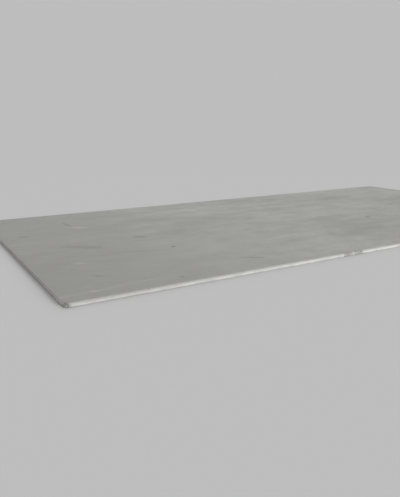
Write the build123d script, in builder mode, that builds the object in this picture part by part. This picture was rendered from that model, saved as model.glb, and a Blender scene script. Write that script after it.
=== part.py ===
from build123d import *
import math
import os

# Plasterboard sheet, one piece of stock, lying on its back with the finished face up.
# Millimetres. X runs along the sheet, Y across it and Z up.
# The origin is the centre of the underside.

# The sheet as it is sold
sheet_length = 2400.0
sheet_width = 1200.0
sheet_thickness = 12.5

# Long edges. The finished face falls away in a shallow taper, for the joint filler,
# and then rolls over a half-round nose down to a short upright strip.
taper_width = 55.0
taper_depth = 1.4
taper_bend_radius = 350.0
side_strip_height = 0.6
back_arris_radius = 1.8

# Underside. The face paper is folded round the nose and under the board, and the
# back liner is glued over its lip, so the margins lie one liner thickness higher.
folded_margin_width = 22.0
liner_thickness = 0.35
liner_edge_slope_run = 1.0

# One corner is knocked off in two flats that meet at a blunt knee. The flats slope
# outwards below the face, so more is gone from the face than from the back.
break_along_edge = 14.0
break_along_end = 19.0
break_knee_share = 0.4
break_lean_angle = 16.0

# Places that follow from the sizes
half_length = sheet_length / 2
half_width = sheet_width / 2
taper_start = half_width - taper_width
taper_end_height = sheet_thickness - taper_depth
liner_edge = half_width - folded_margin_width
corner_x = -half_length
corner_y = -half_width
knee_x = corner_x + break_along_edge * break_knee_share
knee_y = corner_y + break_along_end * break_knee_share

# The break's line on the face, from the long edge over the knee to the cut end
break_line = [
    Vector(corner_x + break_along_edge, corner_y, sheet_thickness),
    Vector(knee_x, knee_y, sheet_thickness),
    Vector(corner_x, corner_y + break_along_end, sheet_thickness),
]

# The nose fills the height that the strip and the arris leave. It is tangent to the
# taper and to the upright strip, so its radius comes from the turn between the two.
taper_angle = math.atan2(taper_depth, taper_width)
nose_turn = math.pi / 2 - taper_angle
nose_height = taper_end_height - liner_thickness - back_arris_radius - side_strip_height
nose_radius = nose_height / math.tan(nose_turn / 2)

os.makedirs("parts", exist_ok=True)

with BuildPart() as drywall_sheet:
    # Half of the cross-section, from the middle of the sheet out to one long edge
    with BuildSketch(Plane.YZ) as section:
        with BuildLine():
            Polyline(
                (0, 0),
                (liner_edge - liner_edge_slope_run, 0),
                (liner_edge, liner_thickness),
                (half_width, liner_thickness),
                (half_width, taper_end_height),
                (taper_start, sheet_thickness),
                (0, sheet_thickness),
                close=True,
            )
        make_face()
        back_corner = section.vertices().group_by(Axis.X)[-1].sort_by(Axis.Y)[0]
        fillet(back_corner, back_arris_radius)
        nose_corner = section.vertices().group_by(Axis.X)[-1].sort_by(Axis.Y)[-1]
        fillet(nose_corner, nose_radius)
        taper_bend = section.vertices().group_by(Axis.Y)[-1].sort_by(Axis.X)[-1]
        fillet(taper_bend, taper_bend_radius)
        mirror(about=Plane.YZ)
    extrude(amount=half_length, both=True)

    # The broken corner, split off by a leaning plane on each side of the knee
    for start, end in zip(break_line, break_line[1:]):
        along = end - start
        upright = Plane(start, x_dir=along, z_dir=along.cross(Axis.Z.direction))
        leaning = upright.moved(Rotation(break_lean_angle, 0, 0))
        split(bisect_by=leaning, keep=Keep.TOP)

drywall_sheet.part.label = "drywall_sheet"
export_step(drywall_sheet.part, "parts/drywall_sheet.step")
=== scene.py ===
import math

import bpy
import numpy as np
from mathutils import Matrix, Vector


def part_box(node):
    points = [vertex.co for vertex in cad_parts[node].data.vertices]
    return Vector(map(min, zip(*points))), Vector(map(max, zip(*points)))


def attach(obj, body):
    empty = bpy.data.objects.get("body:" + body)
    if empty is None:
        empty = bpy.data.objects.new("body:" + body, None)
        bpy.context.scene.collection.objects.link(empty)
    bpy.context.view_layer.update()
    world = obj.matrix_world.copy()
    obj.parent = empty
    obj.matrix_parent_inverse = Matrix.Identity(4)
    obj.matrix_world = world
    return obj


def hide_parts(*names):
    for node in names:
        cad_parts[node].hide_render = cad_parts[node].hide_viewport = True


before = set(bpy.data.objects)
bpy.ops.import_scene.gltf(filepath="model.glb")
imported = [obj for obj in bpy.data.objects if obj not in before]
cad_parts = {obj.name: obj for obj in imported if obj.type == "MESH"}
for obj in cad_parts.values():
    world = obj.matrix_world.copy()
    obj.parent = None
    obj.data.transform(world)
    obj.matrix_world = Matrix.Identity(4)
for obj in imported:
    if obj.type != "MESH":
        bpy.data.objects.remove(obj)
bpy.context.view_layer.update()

# A paper-faced gypsum wall sheet, lying on its back with the finished face up.
# Metres. X runs along the sheet, Y across it and Z up. The middle of the underside is at the origin.

# The overall sizes are the high corner of the solid's box in the frame
SHEET_NODE = "drywall_sheet"
HALF_LENGTH, HALF_WIDTH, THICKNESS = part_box(SHEET_NODE)[1]

# The long edges: a taper, a half-round nose, a short upright strip and a small back arris
TAPER_WIDTH = 0.055
TAPER_DEPTH = 0.0014
TAPER_BEND = 0.003
SIDE_STRIP = 0.0006
ARRIS_RADIUS = 0.0018
ARRIS_STEPS = 5
NOSE_STEPS = 16

# The underside: the back liner is glued over the lip of the folded face paper, and its edge wanders.
# Lines of the mesh within the seam's reach follow it. No face of the underside lies above the limit.
LINER_THICKNESS = 0.00035
FOLDED_MARGIN = 0.022
LINER_SLOPE_RUN = 0.001
SEAM_WANDER = 0.0008
SEAM_REACH = 0.012
UNDERSIDE_LIMIT = 0.001

# The long edges wander and are dented: the rim moves as a whole, and the band behind it less and less
EDGE_WANDER = 0.0003
EDGE_RIM = 0.004
EDGE_BAND = 0.03

# Shallow dents along the long edges, and three narrow nicks in the one at low Y, as places along X.
# A dent of the bruise depth bruises the paper fully.
DENT_WIDTHS = (0.003, 0.012)
DENT_DEPTHS = (0.0001, 0.00055)
BRUISE_DEPTH = 0.0011
NICKS = (-0.979, -0.679, -0.242)
NICK_WIDTH = 0.0028
NICK_DEPTH = 0.001

# The cut ends: frayed paper, and between the papers a rough and pitted core that starts a little
# further in and further back than they do. Its roughness grows from the papers over the rim, a share
# of its height, and the bulge of the rounded edges fades out over a number of its columns.
PLY_THICKNESS = 0.00034
PLY_FRAY = 0.00012
PLY_STEP = 0.00005
CORE_INSET = 1.15 * PLY_THICKNESS
CORE_RECESS = 0.0005
CORE_ROUGHNESS = 0.00025
CORE_PITS = 0.0006
CORE_RIM = 0.125
BULGE_COLUMNS = 16

# The knocked-off corner, at the low X and low Y end: how far it goes along each edge, its blunt knee,
# and how it slopes outwards below the face. Its line runs slantwise, so the slope's run is the slant
# times as long along X as square to the line. The sheet behind it is set back with it, less and less
# over the reach, and is torn and crushed over the tear. There the papers' edge is jagged, and the core
# is chipped and lies deeper.
BREAK_ALONG_EDGE = 0.014
BREAK_ALONG_END = 0.019
BREAK_KNEE_SHARE = 0.4
BREAK_LEAN_ANGLE = math.radians(16)
BREAK_SLANT = 1.3
BREAK_REACH = 0.05
BREAK_TEAR = 0.009
BREAK_CRUSH = 0.0011
BREAK_JAG = 0.0009
BREAK_CHIPS = 0.0011
BREAK_RECESS = 0.0007

# Places that follow from these sizes
taper_start = HALF_WIDTH - TAPER_WIDTH
taper_end_height = THICKNESS - TAPER_DEPTH
taper_slope = TAPER_DEPTH / TAPER_WIDTH
nose_turn = math.pi / 2 - math.atan(taper_slope)
nose_foot = LINER_THICKNESS + ARRIS_RADIUS + SIDE_STRIP
nose_radius = (taper_end_height - nose_foot) / math.tan(nose_turn / 2)
nose_top_y = HALF_WIDTH - nose_radius * (1 - math.cos(nose_turn))
arris_y = HALF_WIDTH - ARRIS_RADIUS
seam_y = HALF_WIDTH - FOLDED_MARGIN - LINER_SLOPE_RUN / 2


def s_curve(value, start, end):
    """0 before start, 1 after end, and an S-shaped rise between the two."""
    share = np.clip((value - start) / (end - start), 0, 1)
    return share * share * (3 - 2 * share)


def noise(u, v, seed):
    """Smooth noise from -1 to 1 at (u, v): random values on a unit lattice, blended with S-curves between
    its points. A place in metres times a number passes that many of its points per metre."""
    side = 61
    lattice = np.random.default_rng(seed).uniform(-1, 1, (side, side))
    u, v = np.broadcast_arrays(np.asarray(u, float), np.asarray(v, float))
    column, row = np.floor(u).astype(int), np.floor(v).astype(int)
    across, up = s_curve(u - column, 0, 1), s_curve(v - row, 0, 1)
    left, right = column % side, (column + 1) % side
    bottom, top = row % side, (row + 1) % side
    lower = lattice[left, bottom] * (1 - across) + lattice[right, bottom] * across
    upper = lattice[left, top] * (1 - across) + lattice[right, top] * across
    return lower * (1 - up) + upper * up


# The section


def face_height(y):
    """Height of the finished face at y: level, then falling at the taper's slope along a hyperbola past
    the bend."""
    past = np.abs(y) - taper_start
    return THICKNESS - taper_slope * (past + np.hypot(past, TAPER_BEND)) / 2


def seam_place(x):
    """Distance of the back liner's edge from the middle line: it wanders a little along the sheet."""
    slow, quick = noise(x * 3, 0.5, seed=11), noise(x * 17, 2.5, seed=12)
    return seam_y + SEAM_WANDER * (0.7 * slow + 0.3 * quick)


def back_height(x, y):
    """Height of the underside at (x, y): nothing on the liner, and one liner thickness outside its edge."""
    past = np.abs(y) - seam_place(x)
    return LINER_THICKNESS * s_curve(past, -LINER_SLOPE_RUN / 2, LINER_SLOPE_RUN / 2)


def side_profile():
    """The rounded long edge at high Y, as (y, z) from the underside to the taper: a small arc, an upright
    strip and a large arc."""
    arris = np.linspace(-math.pi / 2, 0, ARRIS_STEPS + 1)
    arris_out = arris_y + ARRIS_RADIUS * np.cos(arris)
    arris_up = LINER_THICKNESS + ARRIS_RADIUS * (1 + np.sin(arris))
    nose = np.linspace(0, nose_turn, NOSE_STEPS + 1)
    nose_out = HALF_WIDTH - nose_radius * (1 - np.cos(nose))
    nose_up = nose_foot + nose_radius * np.sin(nose)
    return np.concatenate([np.stack([arris_out, arris_up], 1), np.stack([nose_out, nose_up], 1)])


SIDE = side_profile()
LEVELS = len(SIDE) - 1


def both_sides(shares):
    """A rising list of shares from 0 to 1, made symmetric from -1 to 1."""
    shares = np.asarray(shares, float)
    return np.concatenate([-shares[:0:-1], shares])


# Where the section has its lengthwise lines, as shares of the flat half width: on the underside, on the
# face, where those of the taper are set by their distance from the edge, and on both of them at a cut
# end, where they lie closest past the fine share
SEAM_SHARES = np.array([seam_y - LINER_SLOPE_RUN / 2, seam_y + LINER_SLOPE_RUN / 2]) / arris_y
BACK_SHARES = both_sides(
    np.concatenate([[0, 0.2, 0.4, 0.6, 0.75, 0.86, 0.92, 0.95], SEAM_SHARES, [0.972, 0.98, 0.99, 1]])
)
TAPER_LINES = np.array(
    [0.063, 0.058, 0.056, 0.054, 0.052, 0.047, 0.04, 0.033, 0.027, 0.022, 0.0175, 0.0135, 0.0105]
)
TAPER_SHARES = (HALF_WIDTH - TAPER_LINES) / nose_top_y
FACE_SHARES = both_sides(np.concatenate([[0, 0.18, 0.36, 0.54, 0.7, 0.82], TAPER_SHARES, [1]]))
FINE_SHARE = 0.94
COARSE_LINES = np.linspace(0, FINE_SHARE, 220)
FINE_LINES = np.linspace(FINE_SHARE, 1, 41)
END_SHARES = both_sides(np.unique(np.concatenate([COARSE_LINES, FINE_LINES, SEAM_SHARES]).round(6)))

# Points of a cut end's ring on each of its two flat stretches, and on each rounded edge between them
FLAT_POINTS = len(END_SHARES)
SIDE_POINTS = LEVELS - 1


def ring(x, back_shares, face_shares):
    """One closed section at x: (points, places). It runs along the underside towards high Y, up the
    rounded edge, back along the face and down the other edge. A place is 0 to 1, 1 to 2, 2 to 3 or 3 to 4
    on these four stretches."""
    back_y = back_shares * arris_y
    near_seam = 1 - np.clip(np.abs(np.abs(back_y) - seam_y) / SEAM_REACH, 0, 1)
    back_y = back_y + np.sign(back_y) * near_seam * (seam_place(x) - seam_y)
    face_y = face_shares[::-1] * nose_top_y
    level_share = np.arange(1, LEVELS) / LEVELS
    y = np.concatenate([back_y, SIDE[1:-1, 0], face_y, -SIDE[-2:0:-1, 0]])
    z = np.concatenate([back_height(x, back_y), SIDE[1:-1, 1], face_height(face_y), SIDE[-2:0:-1, 1]])
    places = np.concatenate(
        [(back_shares + 1) / 2, 1 + level_share, 2 + (1 - face_shares[::-1]) / 2, 3 + level_share]
    )
    return np.stack([np.full_like(y, x), y, z], 1), places


def inward(points, depth):
    """A ring moved towards its own inside by depth, square to its outline in the section."""
    ahead = np.roll(points, -1, 0) - np.roll(points, 1, 0)
    along = ahead[:, 1:] / np.linalg.norm(ahead[:, 1:], axis=1, keepdims=True)
    moved = points.copy()
    moved[:, 1] -= depth * along[:, 1]
    moved[:, 2] += depth * along[:, 0]
    return moved


# Wear of the shape


def break_line(y):
    """How far the break lies behind the cut end on the face, at y: most at the long edge, less past a
    knee."""
    return np.interp(
        y + HALF_WIDTH,
        [0, BREAK_ALONG_END * BREAK_KNEE_SHARE, BREAK_ALONG_END],
        [BREAK_ALONG_EDGE, BREAK_ALONG_EDGE * BREAK_KNEE_SHARE, 0],
    )


def break_setback(y, z):
    """The same at height z: less lower down, because the break slopes outwards below the face."""
    run = BREAK_SLANT * math.tan(BREAK_LEAN_ANGLE) * (THICKNESS - z)
    return np.maximum(0, break_line(y) - run)


def corner_wear(x, y):
    """How torn and crushed the sheet is behind the break: 1 at its line, falling to 0 some millimetres
    behind it, and 0 past the break's end."""
    behind = x + HALF_LENGTH - break_line(y)
    beside = 1 - s_curve(y + HALF_WIDTH, 0.7 * BREAK_ALONG_END, 1.3 * BREAK_ALONG_END)
    return (1 - s_curve(behind, 0, BREAK_TEAR)) * beside


def edge_dents(seed, count, nicks=()):
    """Places, widths and depths of the damage along one long edge: dents at random, then nicks at their
    own places."""
    draw = np.random.default_rng(seed)
    places = draw.uniform(-HALF_LENGTH, HALF_LENGTH, count)
    widths = draw.uniform(*DENT_WIDTHS, count)
    depths = draw.uniform(*DENT_DEPTHS, count)
    narrow, deep = np.full(len(nicks), NICK_WIDTH), np.full(len(nicks), NICK_DEPTH)
    return np.append(places, nicks), np.append(widths, narrow), np.append(depths, deep)


# By side: -1 is the long edge at low Y, and 1 the one at high Y
DENTS = {-1: edge_dents(seed=5, count=26, nicks=NICKS), 1: edge_dents(seed=6, count=22)}


def dent_depth(x, side):
    """How deep the long edge is dented at x: bell-shaped dents, the deepest one counting."""
    places, widths, depths = DENTS[side]
    bells = depths * np.exp(-(((x[:, None] - places) / widths) ** 2))
    return bells.max(1)


def weather(points):
    """Moves the plain section's points to the worn sheet's surface, always inwards: the long edges wander
    and are dented, deepest at the face, and one corner is broken back and crushed. Returns the points and
    how bruised each one is."""
    x, y, z = points.T.copy()
    bruise = np.zeros(len(x))
    for side in (-1, 1):
        near = s_curve(side * y, HALF_WIDTH - EDGE_BAND, HALF_WIDTH - EDGE_RIM)
        wander = EDGE_WANDER * (1 + noise(x * 5, side * 3.5, seed=21))
        dent = dent_depth(x, side) * s_curve(z, 0, THICKNESS)
        y = y - side * near * (wander + dent)
        bruise = np.maximum(bruise, near * dent / BRUISE_DEPTH)
    setback = break_setback(y, z)
    reach = 1 - s_curve(x, -HALF_LENGTH, -HALF_LENGTH + BREAK_REACH)
    x = x + setback * reach
    worn = corner_wear(x, y)
    crush = BREAK_CRUSH * worn**2 * (1 + 0.6 * noise(x * 260, y * 260, seed=23))
    z = z - crush * z / THICKNESS
    return np.stack([x, y, z], 1), np.maximum(bruise, worn)


# The mesh

# Where the rings stand along the sheet: at these distances from each cut end, and evenly from the first
# even one to the last. A nick has a cluster of its own, some nick widths to either side of it, and the
# even rings keep clear of that.
END_RINGS = np.array([0.004, 0.0065, 0.009, 0.012, 0.0155, 0.02, 0.025, 0.031, 0.038, 0.046])
FIRST_EVEN_RING = 0.055
EVEN_RINGS = 380
NICK_RINGS = 9
NICK_SPAN = 2
NICK_CLEARANCE = 2.3


def ring_positions():
    """X of the rings along the sheet, rising: even ones, with closer ones near the two cut ends and at
    the nicks."""
    even = np.linspace(-HALF_LENGTH + FIRST_EVEN_RING, HALF_LENGTH - FIRST_EVEN_RING, EVEN_RINGS)
    clear = np.abs(np.subtract.outer(even, NICKS)).min(1) > NICK_CLEARANCE * NICK_WIDTH
    cluster = np.linspace(-NICK_SPAN, NICK_SPAN, NICK_RINGS) * NICK_WIDTH
    at_nicks = np.add.outer(NICKS, cluster).ravel()
    return np.sort(np.concatenate([END_RINGS - HALF_LENGTH, even[clear], at_nicks, HALF_LENGTH - END_RINGS]))


def ring_cells(first, second, count):
    """Four-cornered faces between two rings of as many points, as indices."""
    here = np.arange(count)
    after = (here + 1) % count
    return np.stack([first + here, first + after, second + after, second + here], 1)


def zip_rings(first, first_places, second, second_places):
    """Triangles between two rings of different counts. Each edge of one ring takes the point of the other
    that the walk round both has reached, so no gap is left. The walk ends at place 4."""
    first_count, second_count = len(first_places), len(second_places)
    first_next = np.append(first_places[1:], 4)
    second_next = np.append(second_places[1:], 4)
    reached_second = np.searchsorted(second_next, first_next, side="left") % second_count
    reached_first = np.searchsorted(first_next, second_next, side="right") % first_count
    here, there = np.arange(first_count), np.arange(second_count)
    after_here, after_there = (here + 1) % first_count, (there + 1) % second_count
    along_first = np.stack([first + here, first + after_here, second + reached_second], 1)
    along_second = np.stack([second + after_there, second + there, first + reached_first], 1)
    return np.concatenate([along_first, along_second])


def ring_stretches(border):
    """The four stretches of a cut end's ring: the underside and the face, both from low Y to high Y, and
    the rounded edges at low Y and at high Y, both from the underside up."""
    cuts = np.cumsum([FLAT_POINTS, SIDE_POINTS, FLAT_POINTS])
    underside, high_side, face, low_side = np.split(border, cuts)
    return underside, face[::-1], low_side[::-1], high_side


def core_points(border, end):
    """The rough gypsum between the papers of a cut end: columns from the underside to the face, inside a
    border ring. The bulge of the two rounded edges fades out over the outermost columns, and grains and
    pits stand in X."""
    bottom, top, left, right = ring_stretches(border)
    left = np.concatenate([bottom[:1], left, top[:1]])
    right = np.concatenate([bottom[-1:], right, top[-1:]])
    share = np.arange(LEVELS + 1) / LEVELS
    column = np.arange(FLAT_POINTS)

    def rounded(edge, from_edge):
        """How much a column still follows the rounded edge, and the edge's own rise and bulge."""
        fade = 1 - s_curve(from_edge, 0, BULGE_COLUMNS)
        span = edge[-1] - edge[0]
        rise = (edge[:, 2] - edge[0, 2]) / span[2]
        bulge = edge - edge[0] - rise[:, None] * span
        return fade, rise, bulge

    left_fade, left_rise, left_bulge = rounded(left, column)
    right_fade, right_rise, right_bulge = rounded(right, column[::-1])
    rise = share + left_fade[:, None] * (left_rise - share) + right_fade[:, None] * (right_rise - share)
    points = bottom[:, None] + rise[..., None] * (top - bottom)[:, None]
    points = points + left_fade[:, None, None] * left_bulge + right_fade[:, None, None] * right_bulge
    y, z = points[..., 1], points[..., 2]
    inner = np.clip(np.minimum(share, 1 - share) / CORE_RIM, 0, 1)
    grain = noise(y * 420, z * 420, seed=31 + end) + 0.6 * noise(y * 900, z * 900, seed=33 + end)
    pits = np.maximum(0, noise(y * 260, z * 380, seed=35 + end) - 0.55) * 3
    depth = CORE_ROUGHNESS * (1 + grain) + CORE_PITS * pits
    broken = corner_wear(points[..., 0], y)
    chips = noise(y * 260, z * 260, seed=37) + 0.55 * noise(y * 640, z * 640, seed=38)
    depth = depth + broken * BREAK_CHIPS * (1.4 + chips)
    points[..., 0] -= end * inner * depth
    return points


def core_cells(border_first, inside_first):
    """The core's faces, as indices: its columns and levels have the border ring's points round them and
    points of their own inside."""
    border = border_first + np.arange(2 * (FLAT_POINTS + SIDE_POINTS))
    inside = inside_first + np.arange((FLAT_POINTS - 2) * SIDE_POINTS)
    grid = np.empty((FLAT_POINTS, LEVELS + 1), int)
    grid[:, 0], grid[:, -1], grid[0, 1:-1], grid[-1, 1:-1] = ring_stretches(border)
    grid[1:-1, 1:-1] = inside.reshape(-1, SIDE_POINTS)
    return np.stack([grid[:-1, :-1], grid[1:, :-1], grid[1:, 1:], grid[:-1, 1:]], -1).reshape(-1, 4)


def cut_end(end, start):
    """One cut end, -1 or 1: a fine ring at the paper's edge, one at the papers' inner side, one where the
    core starts, a little further in, and the core. Returns points, bruises, (four-cornered faces,
    material) pairs and the fine ring's places."""
    outer, places = ring(end * HALF_LENGTH, END_SHARES, END_SHARES)
    count = len(outer)
    outer, bruise = weather(outer)
    y, z = outer[:, 1], outer[:, 2]
    broken = corner_wear(outer[:, 0], y)
    fray = PLY_FRAY * (1 + noise(y * 700, z * 700, seed=41 + end))
    coarse_teeth, fine_teeth = noise(y * 450, z * 300, seed=43), noise(y * 1200, z * 900, seed=44)
    jag = BREAK_JAG * broken * (1 + coarse_teeth + 0.5 * fine_teeth)
    outer[:, 0] -= end * (fray + jag * (break_setback(y, z) > 0))
    inner = inward(outer, PLY_THICKNESS)
    inner[:, 0] -= end * PLY_STEP
    core_edge = inward(outer, CORE_INSET)
    recess = CORE_RECESS * (1 + 0.4 * noise(y * 200, z * 200, seed=45)) + BREAK_RECESS * broken
    core_edge[:, 0] -= end * recess
    inside = core_points(core_edge, end)[1:-1, 1:-1].reshape(-1, 3)
    finished_cells = [
        (ring_cells(start, start + count, count), "ply_edge"),
        (ring_cells(start + count, start + 2 * count, count), "ply_edge"),
        (core_cells(start + 2 * count, start + 3 * count), "gypsum_core"),
    ]
    outwards = [(cells[:, ::end], finish) for cells, finish in finished_cells]
    points = np.concatenate([outer, inner, core_edge, inside])
    bruises = np.concatenate([np.tile(bruise, 3), corner_wear(inside[:, 0], inside[:, 1])])
    return points, bruises, outwards, places


def skin_slots(points, faces, finishes):
    """The material slot of each face of the skin: back liner on the underside inside the seam, and face
    paper everywhere else."""
    centre = points[faces].mean(1)
    inside_seam = np.abs(centre[:, 1]) < seam_place(centre[:, 0]) + LINER_SLOPE_RUN / 2
    on_liner = inside_seam & (centre[:, 2] < UNDERSIDE_LIMIT)
    return np.where(on_liner, finishes.index("back_liner"), finishes.index("face_paper"))


def sheet_mesh(finishes):
    """The whole sheet as one closed mesh: the section carried along X, with a finer cut end zipped on at
    each side."""
    stations = ring_positions()
    rings = [ring(x, BACK_SHARES, FACE_SHARES) for x in stations]
    places = rings[0][1]
    count = len(places)
    body, body_bruise = weather(np.concatenate([points for points, _ in rings]))
    steps = np.arange(len(stations) - 1)[:, None, None] * count
    walls = (ring_cells(0, count, count) + steps).reshape(-1, 4)
    last = (len(stations) - 1) * count
    low_start = len(body)
    low_points, low_bruise, low_faces, fine_places = cut_end(-1, low_start)
    high_start = low_start + len(low_points)
    high_points, high_bruise, high_faces, _ = cut_end(1, high_start)
    low_zip = zip_rings(low_start, fine_places, 0, places)
    high_zip = zip_rings(last, places, high_start, fine_places)
    points = np.concatenate([body, low_points, high_points])
    bruises = np.concatenate([body_bruise, low_bruise, high_bruise])
    groups = [(faces, skin_slots(points, faces, finishes)) for faces in (walls, low_zip, high_zip)]
    for faces, finish in low_faces + high_faces:
        groups.append((faces, np.full(len(faces), finishes.index(finish))))
    mesh = bpy.data.meshes.new("sheet_mesh")
    mesh.from_pydata(points.tolist(), [], [face for faces, _ in groups for face in faces.tolist()])
    all_slots = np.concatenate([slots for _, slots in groups])
    mesh.polygons.foreach_set("material_index", all_slots.astype(np.int32))
    bruise_layer = mesh.attributes.new("bruise", "FLOAT", "POINT")
    bruise_layer.data.foreach_set("value", bruises.astype(np.float32))
    mesh.update()
    return mesh


# Shader graphs


class Graph:
    """Short ways to add nodes to a tree. An input that is another node's output is linked, and any other
    is set."""

    def __init__(self, tree):
        self.tree = tree

    def node(self, kind, inputs=None, **settings):
        """A new node of a kind, with its settings and inputs."""
        made = self.tree.nodes.new("ShaderNode" + kind)
        for name, value in settings.items():
            setattr(made, name, value)
        for name, value in (inputs or {}).items():
            if isinstance(value, bpy.types.NodeSocket):
                self.tree.links.new(value, made.inputs[name])
            else:
                made.inputs[name].default_value = value
        return made

    def math(self, operation, first, second=0.0, clamp=False):
        """The result of one operation on two numbers."""
        return self.node("Math", {0: first, 1: second}, operation=operation, use_clamp=clamp).outputs[0]

    def times(self, first, second, clamp=False):
        """The product of two numbers."""
        return self.math("MULTIPLY", first, second, clamp)

    def stretch(self, vector, scale, shift=(0, 0, 0)):
        """The coordinates times scale, plus shift."""
        return self.node("VectorMath", {0: vector, 1: scale, 2: shift}, operation="MULTIPLY_ADD").outputs[0]

    def noise(self, vector, scale=1.0, detail=2.0, roughness=0.5, distortion=0.0):
        """A noise texture's value, from 0 to 1."""
        inputs = {
            "Vector": vector,
            "Scale": scale,
            "Detail": detail,
            "Roughness": roughness,
            "Distortion": distortion,
        }
        return self.node("TexNoise", inputs).outputs["Fac"]

    def ramp(self, value, start, end, before=0.0, after=1.0):
        """One number before start, another after end, and an S-shaped way between the two."""
        inputs = {"Value": value, "From Min": start, "From Max": end, "To Min": before, "To Max": after}
        return self.node("MapRange", inputs, interpolation_type="SMOOTHSTEP").outputs["Result"]

    def blend(self, share, first, second):
        """A colour between first and second."""
        return self.node("Mix", {0: share, 6: first, 7: second}, data_type="RGBA").outputs[2]

    def between(self, share, first, second):
        """A number between first and second."""
        return self.node("Mix", {0: share, 2: first, 3: second}, data_type="FLOAT").outputs[0]

    def use(self, group, inputs):
        """The outputs of one of this script's groups, with its own values."""
        return self.node("Group", inputs, node_tree=group).outputs


def new_group(name, inputs, outputs):
    """An empty node group with named sockets: its tree, its graph, its inputs and a way to set each
    output."""
    tree = bpy.data.node_groups.new(name, "ShaderNodeTree")
    kinds = {"vector": "NodeSocketVector", "value": "NodeSocketFloat"}
    for socket, kind in inputs.items():
        tree.interface.new_socket(socket, in_out="INPUT", socket_type=kinds[kind])
    for socket, kind in outputs.items():
        tree.interface.new_socket(socket, in_out="OUTPUT", socket_type=kinds[kind])
    given = tree.nodes.new("NodeGroupInput").outputs
    result = tree.nodes.new("NodeGroupOutput").inputs
    return tree, Graph(tree), given, lambda socket, value: tree.links.new(value, result[socket])


def sheet_places_group():
    """Where a point is on the sheet, from its Object coordinates: how far it is from the long edges and
    the cut ends, and how much its part of the section faces up."""
    tree, graph, given, give = new_group(
        "sheet_places",
        {"Vector": "vector"},
        {"From Long Edge": "value", "From Cut End": "value", "Faces Up": "value"},
    )
    parts = graph.node("SeparateXYZ", {0: given["Vector"]}).outputs
    along = graph.math("ABSOLUTE", parts["X"])
    across = graph.math("ABSOLUTE", parts["Y"])
    give("From Long Edge", graph.math("SUBTRACT", HALF_WIDTH, across))
    give("From Cut End", graph.math("SUBTRACT", HALF_LENGTH, along))
    rise = graph.math("SUBTRACT", parts["Z"], nose_foot)
    share = graph.math("DIVIDE", rise, nose_radius, clamp=True)
    give("Faces Up", graph.math("POWER", share, 1.6))
    return tree


def paper_group():
    """Board paper. Tone is its colour variation: cloudy formation, faint bands along the sheet and single
    fibres. Height is the fibres, a slight cockle and broad low waves, and Flecks are a grey paper's
    darker fibres."""
    tree, graph, given, give = new_group(
        "board_paper",
        {"Vector": "vector", "Fibre Scale": "value"},
        {"Tone": "value", "Height": "value", "Flecks": "value"},
    )
    vector, fibre_scale = given["Vector"], given["Fibre Scale"]
    bands = graph.noise(graph.stretch(vector, (2, 16, 16)), detail=3.0, roughness=0.55)
    clouds = graph.noise(vector, scale=22.0, detail=4.0, roughness=0.6)
    along_fibres = graph.stretch(vector, (0.45, 1, 1))
    fibres = graph.noise(along_fibres, scale=fibre_scale, roughness=0.7, distortion=0.6)
    cockle = graph.noise(graph.stretch(vector, (0.6, 1, 1)), scale=14.0, detail=1.0)
    waves = graph.noise(graph.stretch(vector, (0.5, 1, 1), (0, 0, 6)), scale=4.0, detail=1.0)
    tone = graph.between(0.7, bands, clouds)
    give("Tone", graph.between(0.3, tone, fibres))
    give("Height", graph.math("ADD", graph.between(0.45, fibres, cockle), graph.times(waves, 3.0)))
    along_flecks = graph.stretch(vector, (0.3, 1, 1), (3, 7, 1))
    flecks = graph.noise(along_flecks, scale=fibre_scale, detail=1.0, roughness=0.4, distortion=2.0)
    give("Flecks", graph.ramp(flecks, 0.63, 0.74))
    return tree


def dust_group():
    """A film of dust, which on the face is painted shade too: broad clouds, smaller smudges, long faint
    tracks and grains.
    """
    tree, graph, given, give = new_group(
        "dust_film", {"Vector": "vector", "Amount": "value", "Patch Scale": "value"}, {"Mask": "value"}
    )
    vector = given["Vector"]
    broad = graph.stretch(vector, (0.8, 1, 1))
    clouds = graph.noise(broad, scale=given["Patch Scale"], detail=5.0, roughness=0.62, distortion=0.4)
    small = graph.stretch(vector, (0.6, 1, 1), (5, 2, 0))
    smudges = graph.noise(small, scale=13.0, detail=4.0, roughness=0.62, distortion=0.5)
    tracks = graph.noise(graph.stretch(vector, (0.9, 12, 12), (0, 4, 0)))
    grains = graph.noise(vector, scale=330.0, roughness=0.8)
    film = graph.between(0.42, clouds, smudges)
    film = graph.between(0.2, film, tracks)
    film = graph.between(0.12, film, grains)
    spread = graph.ramp(film, 0.34, 0.64, before=0.63)
    give("Mask", graph.times(spread, given["Amount"], clamp=True))
    return tree


def rub_group():
    """Rub marks: short streaks, thin across and long along the way the sheet slid, in scattered
    patches."""
    tree, graph, given, give = new_group(
        "rub_marks", {"Vector": "vector", "Amount": "value", "Fineness": "value"}, {"Mask": "value"}
    )
    vector = given["Vector"]
    fine = graph.node("VectorMath", {0: vector, "Scale": given["Fineness"]}, operation="SCALE").outputs[0]
    lines = graph.noise(graph.stretch(fine, (0.018, 1, 1), (9, 2, 5)), distortion=0.25)
    patches = graph.noise(graph.stretch(vector, (1.1, 2.6, 2.6), (1, 8, 3)), scale=1.6)
    marks = graph.times(graph.ramp(lines, 0.6, 0.72), graph.ramp(patches, 0.47, 0.62))
    give("Mask", graph.times(marks, given["Amount"], clamp=True))
    return tree


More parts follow.
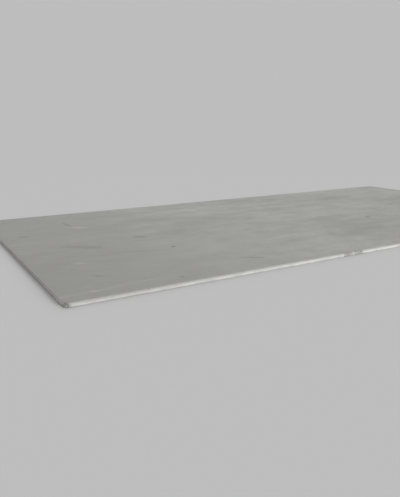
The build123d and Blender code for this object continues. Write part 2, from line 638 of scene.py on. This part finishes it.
def speck_group():
    """Scattered specks of dirt: a few cells hold one, of uneven size, ragged outline and uneven
    strength."""
    tree, graph, given, give = new_group(
        "dirt_specks", {"Vector": "vector", "Amount": "value", "Cells Per Metre": "value"}, {"Mask": "value"}
    )
    vector = given["Vector"]
    swaying = {"Vector": vector, "Scale": 90.0, "Detail": 3.0, "Roughness": 0.65}
    sway = graph.node("TexNoise", swaying).outputs["Color"]
    wavy = graph.stretch(sway, (0.02, 0.02, 0.02), vector)
    cells = graph.node("TexVoronoi", {"Vector": wavy, "Scale": given["Cells Per Metre"]}).outputs
    chance = graph.node("SeparateColor", {0: cells["Color"]}).outputs
    size = graph.ramp(chance[0], 0.7, 1.0, after=0.15)
    depth = graph.math("SUBTRACT", size, cells["Distance"])
    inside = graph.times(graph.ramp(depth, 0.0, 0.07), graph.ramp(chance[1], 0.0, 1.0, before=0.3))
    give("Mask", graph.times(inside, given["Amount"], clamp=True))
    return tree


def grime_and_shade_group():
    """Grime that gathers along an edge, and at the foot of the long edges painted shade too: full at the
    edge, broken up by noise, and gone past its reach.
    """
    tree, graph, given, give = new_group(
        "edge_grime_and_shade",
        {"Vector": "vector", "Distance": "value", "Reach": "value", "Amount": "value"},
        {"Mask": "value"},
    )
    uneven = graph.noise(given["Vector"], scale=26.0, detail=4.0, roughness=0.65)
    share = graph.math("DIVIDE", given["Distance"], given["Reach"], clamp=True)
    close = graph.math("SUBTRACT", 1.0, share)
    film = graph.times(graph.times(close, close), graph.ramp(uneven, 0.35, 0.68))
    give("Mask", graph.times(film, given["Amount"], clamp=True))
    return tree


PLACES = sheet_places_group()
PAPER = paper_group()
DUST = dust_group()
RUBS = rub_group()
SPECKS = speck_group()
GRIME_AND_SHADE = grime_and_shade_group()

# Colours, as linear values
PAPER_PALE = (0.73, 0.733, 0.70, 1)
PAPER_DEEP = (0.62, 0.62, 0.59, 1)
# Dust grey, also used as painted shade: on the paper that faces up, towards the low X end, at the foot of the
# long edges and in the gypsum's pores
DUST_AND_SHADE_GREY = (0.345, 0.342, 0.328, 1)
RUB_PALE = (0.58, 0.57, 0.53, 1)
# Dark rub marks, scuffs and grime; also painted shade on the broken corner's gypsum
RUB_AND_SHADE_DARK = (0.17, 0.165, 0.155, 1)
SPECK_BROWN = (0.17, 0.15, 0.125, 1)
PLY_GREY = (0.27, 0.255, 0.23, 1)
KRAFT_PALE = (0.40, 0.36, 0.30, 1)
KRAFT_DEEP = (0.30, 0.265, 0.215, 1)
FLECK_BROWN = (0.13, 0.105, 0.08, 1)
GYPSUM_WHITE = (0.76, 0.75, 0.73, 1)
GYPSUM_SHADE = (0.62, 0.61, 0.595, 1)
# Dusty gypsum grey; also painted shade on the exposed gypsum at the broken corner
GYPSUM_DUST_AND_SHADE = (0.40, 0.395, 0.38, 1)

# Where along X the thicker dust and painted shade of the low X end have thinned out
DUST_AND_SHADE_END = -0.2

# The two scuffs on the long edge at low Y: places along X, half length, and reach in from the edge
SCUFF_PLACES = (-0.256, -0.209)
SCUFF_HALF_LENGTH = 0.024
SCUFF_REACH = 0.014

# Single marks on the face: X and Y, half length, half width, turn from the sheet's length, and strength
DARK_MARKS = (
    (-0.748, -0.033, 0.045, 0.016, -0.54, 0.40),
    (-0.711, -0.232, 0.012, 0.010, 0.0, 0.70),
    (-1.056, -0.425, 0.030, 0.012, -0.54, 0.26),
    (-0.912, 0.330, 0.075, 0.010, 1.66, 0.34),
    (-0.560, -0.490, 0.055, 0.012, -0.50, 0.35),
    (-1.120, 0.183, 0.026, 0.014, -0.54, 0.36),
    (-0.980, -0.080, 0.110, 0.030, -0.54, 0.25),
    (0.310, -0.180, 0.030, 0.012, 0.20, 0.50),
)
PALE_MARKS = (
    (-0.888, 0.253, 0.050, 0.026, -0.54, 0.40),
    (-1.055, -0.274, 0.034, 0.014, -0.54, 0.34),
    (-1.107, -0.546, 0.020, 0.008, -0.54, 0.34),
    (-0.300, -0.300, 0.120, 0.008, 0.04, 0.30),
    (0.520, 0.120, 0.160, 0.010, -0.03, 0.30),
)


def new_material(name):
    """A node material: itself, its graph, its Object coordinates and its Principled shader's inputs."""
    material = bpy.data.materials.new(name)
    material.use_nodes = True
    graph = Graph(material.node_tree)
    vector = graph.node("TexCoord").outputs["Object"]
    shader = material.node_tree.nodes["Principled BSDF"].inputs
    return material, graph, vector, shader


def set_bump(graph, shader, height, distance, strength=1.0):
    """Gives the shader a relief: its height times a distance in metres."""
    bump = graph.node("Bump", {"Height": height, "Distance": distance, "Strength": strength})
    graph.tree.links.new(bump.outputs["Normal"], shader["Normal"])


def paper_colour(graph, paper, deep, pale):
    """The colour of clean board paper, between its deep and pale tone."""
    return graph.blend(graph.ramp(paper["Tone"], 0.32, 0.68), deep, pale)


def edge_grime_and_shade(graph, vector, distance, reach, amount):
    """Grime along edges, at a distance from them; along the long edges it is painted shade too."""
    inputs = {"Vector": vector, "Distance": distance, "Reach": reach, "Amount": amount}
    return graph.use(GRIME_AND_SHADE, inputs)["Mask"]


def low_end_dust_and_shade(graph, vector):
    """Where the dust lies thicker and painted shade darkens the paper: 1 at the low X end, falling to 0
    along the sheet.
    """
    along = graph.node("SeparateXYZ", {0: vector}).outputs["X"]
    return graph.ramp(along, -HALF_LENGTH, DUST_AND_SHADE_END, before=1.0, after=0.0)


def near_edge_wear(graph, vector, end_dust_and_shade):
    """Wear of its own on the long edge at low Y: (dust and painted shade, smear, scuff). Dust and painted
    shade dim the upright edge by the broken corner and clear along the sheet, and two grey smears with
    darker scuffs in them lie a little short of the middle."""
    parts = graph.node("SeparateXYZ", {0: vector}).outputs
    side = graph.math("LESS_THAN", parts["Y"], 0.0)
    uneven = graph.noise(graph.stretch(vector, (16, 60, 160)), detail=3.0, roughness=0.6)
    # Dust and painted shade: the upright edge is dimmer near the low X end
    dust = graph.times(graph.times(end_dust_and_shade, side), graph.ramp(uneven, 0.25, 0.75, before=0.45))
    away = HALF_LENGTH
    for place in SCUFF_PLACES:
        from_scuff = graph.math("ABSOLUTE", graph.math("SUBTRACT", parts["X"], place))
        away = graph.math("MINIMUM", from_scuff, away)
    close = graph.ramp(away, SCUFF_HALF_LENGTH * 0.7, SCUFF_HALF_LENGTH, before=1.0, after=0.0)
    inset = graph.math("ADD", parts["Y"], HALF_WIDTH)
    at_edge = graph.ramp(inset, SCUFF_REACH * 0.4, SCUFF_REACH, before=1.0, after=0.0)
    here = graph.times(graph.times(close, at_edge), side)
    cloudy = graph.noise(graph.stretch(vector, (40, 160, 160)), detail=3.0, roughness=0.6)
    smear = graph.times(here, graph.ramp(cloudy, 0.3, 0.6, before=0.35))
    ragged = graph.noise(graph.stretch(vector, (140, 420, 420), (3, 0, 0)), detail=4.0, roughness=0.7)
    scuff = graph.ramp(graph.math("ADD", graph.times(here, 0.3), ragged), 0.78, 0.88)
    return dust, smear, graph.times(scuff, here)


def face_marks(graph, vector, marks):
    """Single marks: for each, how far a point is from its middle in half lengths and half widths, turned
    its way. A mark fades out at 1, a little nearer or further as noise has it, and the strongest one
    counts."""
    uneven = graph.noise(vector, scale=70.0, detail=4.0, roughness=0.65)
    found = 0.0
    for x, y, half_length, half_width, turn, strength in marks:
        placing = {
            "Vector": vector,
            "Location": (x, y, THICKNESS),
            "Rotation": (0, 0, turn),
            "Scale": (half_length, half_width, 1),
        }
        local = graph.node("Mapping", placing, vector_type="TEXTURE").outputs[0]
        away = graph.node("VectorMath", {0: local}, operation="LENGTH").outputs["Value"]
        ragged = graph.math("ADD", away, graph.times(graph.math("SUBTRACT", uneven, 0.5), 1.6))
        found = graph.math("MAXIMUM", graph.ramp(ragged, 0.25, 1.0, before=strength, after=0.0), found)
    return found


def face_rubs(graph, vector):
    """Rub marks on the face paper, the dark ones turned a little against the pale ones: (pale, dark)."""
    pale = graph.use(RUBS, {"Vector": vector, "Amount": 0.34, "Fineness": 130.0})["Mask"]
    turning = {"Vector": vector, "Rotation": (0, 0, 0.35), "Location": (3, 1, 0)}
    turned = graph.node("Mapping", turning).outputs[0]
    dark = graph.use(RUBS, {"Vector": turned, "Amount": 0.28, "Fineness": 90.0})["Mask"]
    return pale, dark


def face_paper():
    """Off-white face paper, wrapped round the long edges: clean and pale on the upright edge, which grime and
    painted shade darken towards its foot, and under a grey film of dust and painted shade where it faces up,
    with rub marks, a few specks and bruises that show the grey ply and the gypsum, that gypsum grey with
    dust and painted shade."""
    material, graph, vector, shader = new_material("face_paper")
    places = graph.use(PLACES, {"Vector": vector})
    faces_up = places["Faces Up"]
    paper = graph.use(PAPER, {"Vector": vector, "Fibre Scale": 620.0})
    # Painted shade and thicker dust, both strongest at the low X end
    end_dust_and_shade = low_end_dust_and_shade(graph, vector)
    edge_dust_and_shade, smear, scuff = near_edge_wear(graph, vector, end_dust_and_shade)
    film = graph.use(DUST, {"Vector": vector, "Amount": 1.0, "Patch Scale": 2.3})["Mask"]
    # The film thickens towards the low X end: dust and painted shade
    film = graph.between(graph.times(end_dust_and_shade, 0.7), film, 1.0)
    # Dust and painted shade: everything that faces up is darkened, not only where dust lies
    settled_dust_and_shade = graph.times(film, faces_up)
    # Grime and painted shade: the long edges darken towards their foot
    side_grime_and_shade = edge_grime_and_shade(graph, vector, places["From Long Edge"], reach=0.006, amount=0.5)
    end_grime = edge_grime_and_shade(graph, vector, places["From Cut End"], reach=0.06, amount=0.85)
    pale_rubs, dark_rubs = face_rubs(graph, vector)
    specks = graph.use(SPECKS, {"Vector": vector, "Amount": 0.42, "Cells Per Metre": 13.0})["Mask"]
    bruise = graph.node("Attribute", attribute_name="bruise").outputs["Fac"]
    ragged = graph.noise(vector, scale=240.0, detail=3.0, roughness=0.7)
    damage = graph.math("ADD", bruise, graph.times(ragged, 0.9))
    torn = graph.ramp(damage, 0.95, 1.12)
    # Exposed gypsum at the broken corner: painted grey with dust and painted shade
    bare_gypsum_and_shade = graph.ramp(damage, 1.3, 1.42)
    layers = (
        # The dust layers carry painted shade too: on the upright edge near the low X end, over all that faces
        # up, and at the foot of the long edges; the smear and the grime at the cut ends are real
        (graph.times(edge_dust_and_shade, 0.62), DUST_AND_SHADE_GREY),
        (graph.times(smear, 0.85), DUST_AND_SHADE_GREY),
        (graph.times(settled_dust_and_shade, 0.96), DUST_AND_SHADE_GREY),
        (graph.math("MAXIMUM", side_grime_and_shade, end_grime), DUST_AND_SHADE_GREY),
        (pale_rubs, RUB_PALE),
        (dark_rubs, RUB_AND_SHADE_DARK),
        (graph.times(face_marks(graph, vector, PALE_MARKS), faces_up), RUB_PALE),
        (graph.times(face_marks(graph, vector, DARK_MARKS), faces_up), RUB_AND_SHADE_DARK),
        (graph.times(scuff, 0.75), RUB_AND_SHADE_DARK),
        (graph.times(specks, faces_up), SPECK_BROWN),
        (graph.times(torn, 0.65), PLY_GREY),
        # Exposed gypsum, grey with dust and painted shade
        (graph.times(bare_gypsum_and_shade, 0.85), GYPSUM_DUST_AND_SHADE),
    )
    colour = paper_colour(graph, paper, PAPER_DEEP, PAPER_PALE)
    for share, layer in layers:
        colour = graph.blend(share, colour, layer)
    graph.tree.links.new(colour, shader["Base Color"])
    rough = graph.math("SUBTRACT", graph.between(settled_dust_and_shade, 0.72, 0.94), graph.times(dark_rubs, 0.15))
    graph.tree.links.new(rough, shader["Roughness"])
    shader["Specular IOR Level"].default_value = 0.3
    height = graph.math("SUBTRACT", paper["Height"], graph.times(torn, 0.9))
    height = graph.math("SUBTRACT", height, graph.times(bare_gypsum_and_shade, graph.times(ragged, 2.0)))
    set_bump(graph, shader, height, distance=0.00028, strength=0.7)
    return material


def back_liner():
    """Grey-brown recycled paper: cloudy, streaky and full of darker flecks, with dust, rub marks, and
    grime along the cut ends."""
    material, graph, vector, shader = new_material("back_liner")
    places = graph.use(PLACES, {"Vector": vector})
    paper = graph.use(PAPER, {"Vector": vector, "Fibre Scale": 460.0})
    film = graph.use(DUST, {"Vector": vector, "Amount": 0.5, "Patch Scale": 3.0})["Mask"]
    rubs = graph.use(RUBS, {"Vector": vector, "Amount": 0.5, "Fineness": 110.0})["Mask"]
    end_grime = edge_grime_and_shade(graph, vector, places["From Cut End"], reach=0.05, amount=0.7)
    colour = paper_colour(graph, paper, KRAFT_DEEP, KRAFT_PALE)
    colour = graph.blend(graph.times(paper["Flecks"], 0.5), colour, FLECK_BROWN)
    colour = graph.blend(graph.times(film, 0.5), colour, GYPSUM_DUST_AND_SHADE)
    colour = graph.blend(rubs, colour, RUB_PALE)
    colour = graph.blend(end_grime, colour, RUB_AND_SHADE_DARK)
    graph.tree.links.new(colour, shader["Base Color"])
    shader["Roughness"].default_value = 0.88
    set_bump(graph, shader, paper["Height"], distance=0.0003, strength=0.7)
    return material


def ply_edge():
    """The cut or torn edge of the papers: grey plies of short fibres."""
    material, graph, vector, shader = new_material("ply_edge")
    fibres = graph.noise(graph.stretch(vector, (1, 0.4, 3)), scale=900.0, detail=3.0, roughness=0.7)
    colour = graph.blend(graph.ramp(fibres, 0.35, 0.65), FLECK_BROWN, PLY_GREY)
    graph.tree.links.new(colour, shader["Base Color"])
    shader["Roughness"].default_value = 0.95
    set_bump(graph, shader, fibres, distance=0.0002)
    return material


def air_pores(graph, vector, scale, widest):
    """Round pores of uneven size, one in about half of the cells: 1 inside a pore."""
    cells = graph.node("TexVoronoi", {"Vector": vector, "Scale": scale}).outputs
    chance = graph.node("SeparateColor", {0: cells["Color"]}).outputs[0]
    size = graph.ramp(chance, 0.4, 1.0, after=widest)
    return graph.ramp(graph.math("SUBTRACT", size, cells["Distance"]), -0.02, 0.06)


def gypsum_core():
    """Set gypsum at a cut or broken edge: chalky white with air pores painted dark as painted shade, crumbs
    and the upright strokes of the cut, under a grey film that is thickest in the hollows, and grimy and
    darkened with painted shade where the corner is broken."""
    material, graph, vector, shader = new_material("gypsum_core")
    crumbs = graph.noise(vector, scale=520.0, detail=4.0, roughness=0.75)
    lumps = graph.noise(vector, scale=120.0, detail=3.0, roughness=0.6)
    strokes = graph.noise(graph.stretch(vector, (300, 420, 50)), detail=3.0, roughness=0.6)
    large_pores = air_pores(graph, vector, scale=700.0, widest=0.24)
    small_pores = air_pores(graph, vector, scale=1500.0, widest=0.34)
    pores = graph.math("MAXIMUM", large_pores, small_pores)
    clouds = graph.noise(vector, scale=9.0, detail=3.0, roughness=0.6)
    # A grey film, thickest where the lumps are low, in the hollows
    film = graph.use(DUST, {"Vector": vector, "Amount": 0.42, "Patch Scale": 5.0})["Mask"]
    film = graph.times(film, graph.ramp(lumps, 0.3, 0.7, before=1.0, after=0.45))
    bruise = graph.node("Attribute", attribute_name="bruise").outputs["Fac"]
    # Grime and painted shade darken the broken corner's gypsum
    grime = graph.times(bruise, graph.ramp(lumps, 0.3, 0.7, before=0.7, after=0.25))
    colour = graph.blend(graph.ramp(clouds, 0.35, 0.65), GYPSUM_SHADE, GYPSUM_WHITE)
    colour = graph.blend(graph.ramp(crumbs, 0.42, 0.7, after=0.55), colour, GYPSUM_SHADE)
    colour = graph.blend(graph.ramp(strokes, 0.5, 0.75, after=0.5), colour, GYPSUM_SHADE)
    # The pores are painted dark grey: painted shade in the holes
    colour = graph.blend(graph.times(pores, 0.6), colour, DUST_AND_SHADE_GREY)
    colour = graph.blend(film, colour, DUST_AND_SHADE_GREY)
    colour = graph.blend(grime, colour, RUB_AND_SHADE_DARK)
    graph.tree.links.new(colour, shader["Base Color"])
    shader["Roughness"].default_value = 0.95
    relief = graph.between(0.45, crumbs, lumps)
    relief = graph.between(0.25, relief, strokes)
    set_bump(graph, shader, graph.math("SUBTRACT", relief, graph.times(pores, 0.45)), distance=0.0009)
    return material


# The sheet

SHARP_ANGLE = math.radians(38)


def make_sheet():
    """The sheet as one piece with its four finishes, in place of the plain solid."""
    finishes = [face_paper(), back_liner(), ply_edge(), gypsum_core()]
    mesh = sheet_mesh([finish.name for finish in finishes])
    for finish in finishes:
        mesh.materials.append(finish)
    mesh.shade_smooth()
    mesh.set_sharp_from_angle(angle=SHARP_ANGLE)
    board = bpy.data.objects.new("sheet", mesh)
    bpy.context.scene.collection.objects.link(board)
    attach(board, "root")
    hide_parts(SHEET_NODE)


# The studio

FLOOR_DROP = 0.0003
FLOOR_REACH = 40.0
FLOOR_FADE = (1.6, 3.6)
FLOOR_GREY = 0.68
ROOM_LIGHT = 0.43

# Two broad lamps a long way off, so that the floor is lit evenly: where each one shines from, how
# bright it makes a white surface that faces it, and how wide it looks
KEY = {"source": (0.35, -0.88, 0.31), "level": 0.72, "width": math.radians(30)}
FILL = {"source": (0.45, 0.75, 0.25), "level": 0.35, "width": math.radians(50)}


def level_light():
    """How bright a white surface that faces up is: the room, and each lamp by the cosine of its slant."""
    lamps = sum(lamp["level"] * Vector(lamp["source"]).normalized().z for lamp in (KEY, FILL))
    return ROOM_LIGHT + lamps


backdrop_grey = FLOOR_GREY * level_light()
backdrop_colour = (backdrop_grey, backdrop_grey, backdrop_grey, 1)


def make_floor():
    """A level pale floor. For the camera it fades into the backdrop's colour with distance."""
    reach, level = FLOOR_REACH, -FLOOR_DROP
    mesh = bpy.data.meshes.new("floor_mesh")
    corners = [(-reach, -reach, level), (reach, -reach, level), (reach, reach, level), (-reach, reach, level)]
    mesh.from_pydata(corners, [], [(0, 1, 2, 3)])
    floor = bpy.data.objects.new("floor", mesh)
    bpy.context.scene.collection.objects.link(floor)
    material, graph, vector, shader = new_material("floor")
    shader["Base Color"].default_value = (FLOOR_GREY, FLOOR_GREY, FLOOR_GREY, 1)
    shader["Roughness"].default_value = 1.0
    shader["Specular IOR Level"].default_value = 0.0
    away = graph.node("VectorMath", {0: vector}, operation="LENGTH").outputs["Value"]
    fade = graph.ramp(away, *FLOOR_FADE)
    seen = graph.node("LightPath").outputs["Is Camera Ray"]
    glow = graph.node("Emission", {"Color": backdrop_colour}).outputs[0]
    surface = material.node_tree.nodes["Principled BSDF"].outputs[0]
    mixed = graph.node("MixShader", {0: graph.times(fade, seen), 1: surface, 2: glow}).outputs[0]
    output = material.node_tree.nodes["Material Output"]
    graph.tree.links.new(mixed, output.inputs["Surface"])
    mesh.materials.append(material)


def make_room():
    """Even light from all round. The camera sees the backdrop's colour instead."""
    world = bpy.data.worlds.new("room")
    world.use_nodes = True
    bpy.context.scene.world = world
    graph = Graph(world.node_tree)
    seen = graph.node("LightPath").outputs["Is Camera Ray"]
    colour = graph.blend(seen, (ROOM_LIGHT, ROOM_LIGHT, ROOM_LIGHT, 1), backdrop_colour)
    graph.tree.links.new(colour, world.node_tree.nodes["Background"].inputs["Color"])


def make_lamp(name, source, level, width):
    """A lamp that shines from the source's direction. Its strength is pi for a level of 1."""
    lamp = bpy.data.lights.new(name, "SUN")
    lamp.energy = level * math.pi
    lamp.angle = width
    holder = bpy.data.objects.new(name, lamp)
    bpy.context.scene.collection.objects.link(holder)
    holder.matrix_world = Vector(source).to_track_quat("Z", "Y").to_matrix().to_4x4()


def light_the_studio():
    """A key lamp low in front of the long edge, so that the edge is bright and the cut end on the left is
    in the half-shade, and a weaker fill, low behind on the right, for the far long edge and the other cut
    end."""
    make_lamp("key_lamp", **KEY)
    make_lamp("fill_lamp", **FILL)


# The camera, with the photograph's lens and heading, raised so that the face shows

FRAME_WIDTH = 400
FRAME_HEIGHT = 497
FOCAL_PIXELS = 510
SENSOR_HEIGHT = 36
VIEW_AZIMUTH = math.radians(-31)
VIEW_ELEVATION = math.radians(14)
CORNER_DISTANCE = 1.25
CORNER_PIXEL = (64, 304)


def make_camera():
    """Puts the near corner of the face at its pixel and distance."""
    level = math.cos(VIEW_ELEVATION)
    back = Vector((math.sin(VIEW_AZIMUTH) * level, -math.cos(VIEW_AZIMUTH) * level, math.sin(VIEW_ELEVATION)))
    right = Vector((math.cos(VIEW_AZIMUTH), math.sin(VIEW_AZIMUTH), 0))
    up = back.cross(right)
    across = (CORNER_PIXEL[0] - FRAME_WIDTH / 2) / FOCAL_PIXELS
    above = (FRAME_HEIGHT / 2 - CORNER_PIXEL[1]) / FOCAL_PIXELS
    ray = (right * across + up * above - back).normalized()
    near_corner = Vector((-HALF_LENGTH, -HALF_WIDTH, THICKNESS))
    lens = bpy.data.cameras.new("camera")
    lens.sensor_fit = "VERTICAL"
    lens.sensor_height = SENSOR_HEIGHT
    lens.lens = SENSOR_HEIGHT * FOCAL_PIXELS / FRAME_HEIGHT
    camera = bpy.data.objects.new("camera", lens)
    bpy.context.scene.collection.objects.link(camera)
    turned = Matrix((right, up, back)).transposed().to_4x4()
    camera.matrix_world = Matrix.Translation(near_corner - ray * CORNER_DISTANCE) @ turned
    bpy.context.scene.camera = camera


make_sheet()
make_floor()
make_room()
light_the_studio()
make_camera()
bpy.context.scene.view_settings.view_transform = "Standard"
